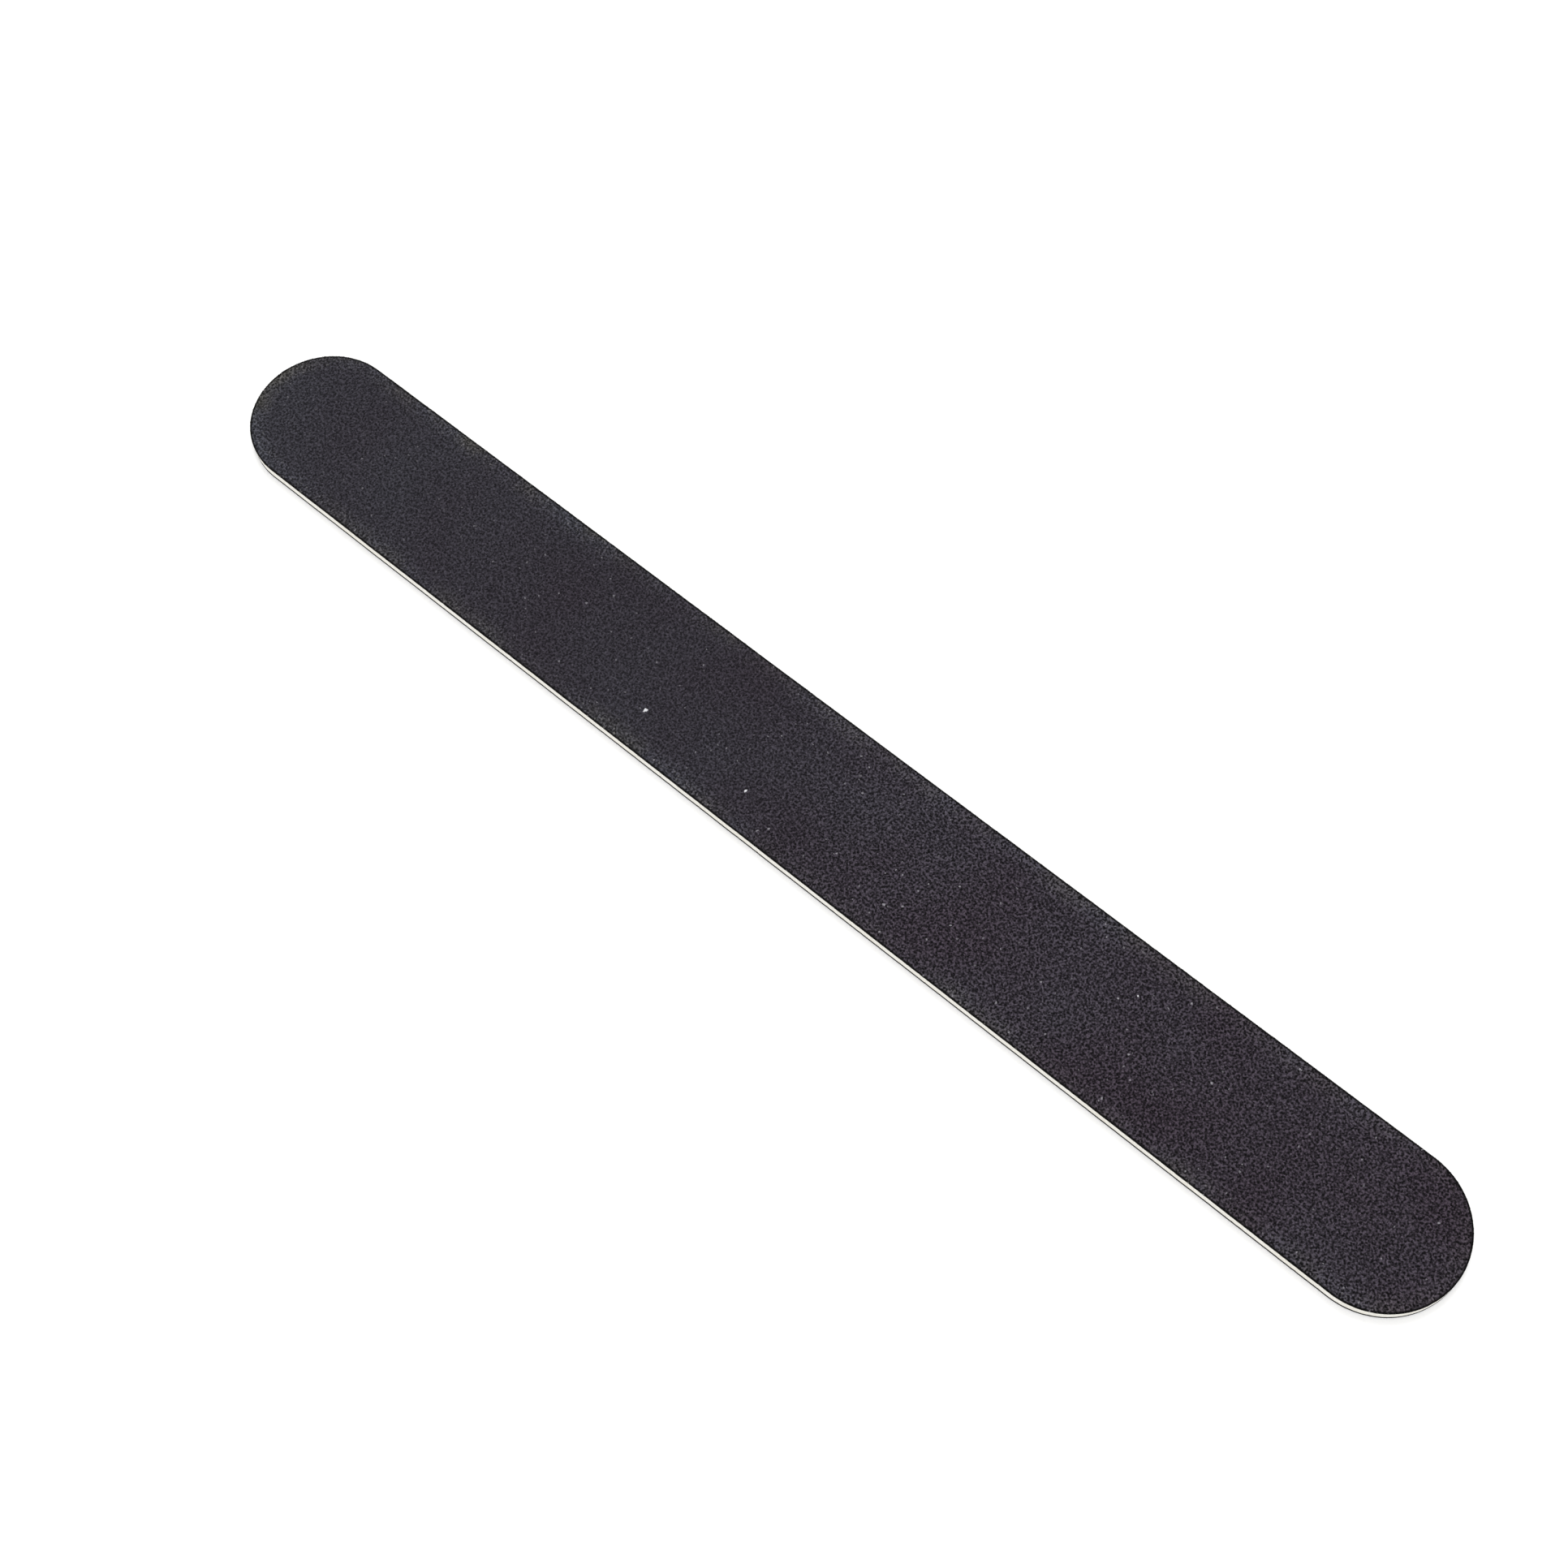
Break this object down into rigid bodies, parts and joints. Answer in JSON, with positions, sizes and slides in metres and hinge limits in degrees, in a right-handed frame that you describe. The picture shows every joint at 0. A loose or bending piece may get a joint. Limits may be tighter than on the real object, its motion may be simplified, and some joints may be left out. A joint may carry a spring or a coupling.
{
  "type": "emery board",
  "caption": "Straight emery board with round ends: black abrasive sheets bonded to both faces of a stiff ivory core, for filing nails.",
  "frame": {"origin": "middle of the lower, finer face, which the board lies on", "axes": "+X along the board's length, +Y across its width, +Z out of the upper, coarser face"},
  "size_m": [0.178, 0.019, 0.002],
  "materials": {
    "core_plastic": "matte",
    "adhesive_film": "satin",
    "backing_paper": "matte",
    "make_resin": "satin",
    "size_resin": "satin",
    "coarse_grain": "satin",
    "fine_grain": "satin"
  },
  "bodies": {
    "root": {"core": "core_plastic", "upper_adhesive": "adhesive_film", "upper_backing_paper": "backing_paper", "upper_make_coat": "make_resin", "upper_size_coat": "size_resin", "upper_grit": "coarse_grain", "lower_adhesive": "adhesive_film", "lower_backing_paper": "backing_paper", "lower_make_coat": "make_resin", "lower_size_coat": "size_resin", "lower_grit": "fine_grain"}
  },
  "joints": []
}
